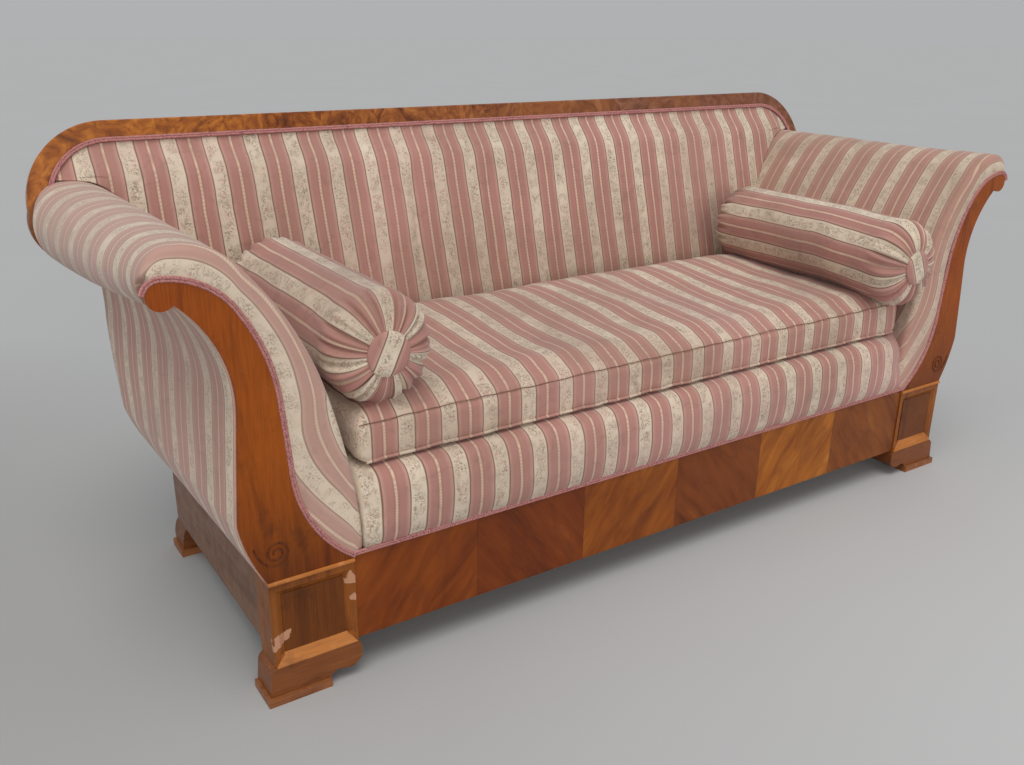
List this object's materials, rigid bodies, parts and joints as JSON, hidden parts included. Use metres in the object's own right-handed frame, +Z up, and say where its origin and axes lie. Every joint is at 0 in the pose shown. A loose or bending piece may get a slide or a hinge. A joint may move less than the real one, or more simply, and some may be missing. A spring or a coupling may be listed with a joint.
{
  "type": "recamier sofa",
  "caption": "Upholstered sofa with S-scroll rolled arms, a raked padded back with a veneered crest, a sprung seat, a loose seat cushion, loose bolsters and bracket feet.",
  "frame": {"origin": "on the floor, at the middle of the sofa's length and of its overall depth", "axes": "+X along the sofa, to the right as seen from its front, +Y from the front to the back, +Z up"},
  "size_m": [2.2716, 0.827, 0.9512],
  "materials": {
    "show_wood": "satin",
    "moulding_wood": "satin",
    "veneer": "satin",
    "inner_pine": "matte",
    "striped_cloth": "matte",
    "braid": "matte",
    "hessian": "matte",
    "webbing": "matte",
    "spring_steel": "satin"
  },
  "bodies": {
    "sofa": {"arm_foot_rail_left": "inner_pine", "arm_foot_rail_right": "inner_pine", "arm_gimp_left": "braid", "arm_gimp_right": "braid", "arm_middle_rail_left": "inner_pine", "arm_middle_rail_right": "inner_pine", "arm_pad_left": "striped_cloth", "arm_pad_right": "striped_cloth", "arm_roll_rail_left": "inner_pine", "arm_roll_rail_right": "inner_pine", "arm_stile_left": "show_wood", "arm_stile_right": "show_wood", "back_bottom_rail": "inner_pine", "back_cover": "striped_cloth", "back_gimp": "braid", "back_pad": "striped_cloth", "back_uprights": "inner_pine", "back_webbing": "webbing", "block_base_moulding_left": "moulding_wood", "block_base_moulding_right": "moulding_wood", "block_cap_left": "moulding_wood", "block_cap_right": "moulding_wood", "block_panel_left": "veneer", "block_panel_right": "veneer", "corner_block_left": "show_wood", "corner_block_right": "show_wood", "corner_glue_blocks": "inner_pine", "crest_corner_left": "veneer", "crest_corner_right": "veneer", "crest_rail": "veneer", "dust_cover": "hessian", "front_foot_left": "show_wood", "front_foot_right": "show_wood", "front_plinth_left": "show_wood", "front_plinth_right": "show_wood", "front_rail": "inner_pine", "front_rail_veneer": "veneer", "outer_arm_panel_left": "striped_cloth", "outer_arm_panel_right": "striped_cloth", "rail_gimp": "braid", "rear_arm_post_left": "inner_pine", "rear_arm_post_right": "inner_pine", "rear_foot_left": "show_wood", "rear_foot_right": "show_wood", "rear_plinth_left": "show_wood", "rear_plinth_right": "show_wood", "rear_rail": "inner_pine", "seat_deck": "striped_cloth", "seat_springs": "spring_steel", "seat_stretchers": "inner_pine", "seat_webbing": "webbing", "side_apron_left": "show_wood", "side_apron_right": "show_wood", "spring_canvas": "hessian"},
    "cushion": {"seat_cushion": "striped_cloth"},
    "left_bolster": {"bolster_left": "striped_cloth", "bolster_discs_left": "striped_cloth"},
    "right_bolster": {"bolster_right": "striped_cloth", "bolster_discs_right": "striped_cloth"}
  },
  "joints": [
    {"name": "seat_cushion_lift", "type": "slide", "parent": "sofa", "child": "cushion", "axis": [0, 0, 1], "range_m": [0, 0.6]},
    {"name": "left_bolster_lift", "type": "slide", "parent": "cushion", "child": "left_bolster", "axis": [0, 0, 1], "range_m": [0, 0.46]},
    {"name": "right_bolster_lift", "type": "slide", "parent": "cushion", "child": "right_bolster", "axis": [0, 0, 1], "range_m": [0, 0.46]}
  ]
}
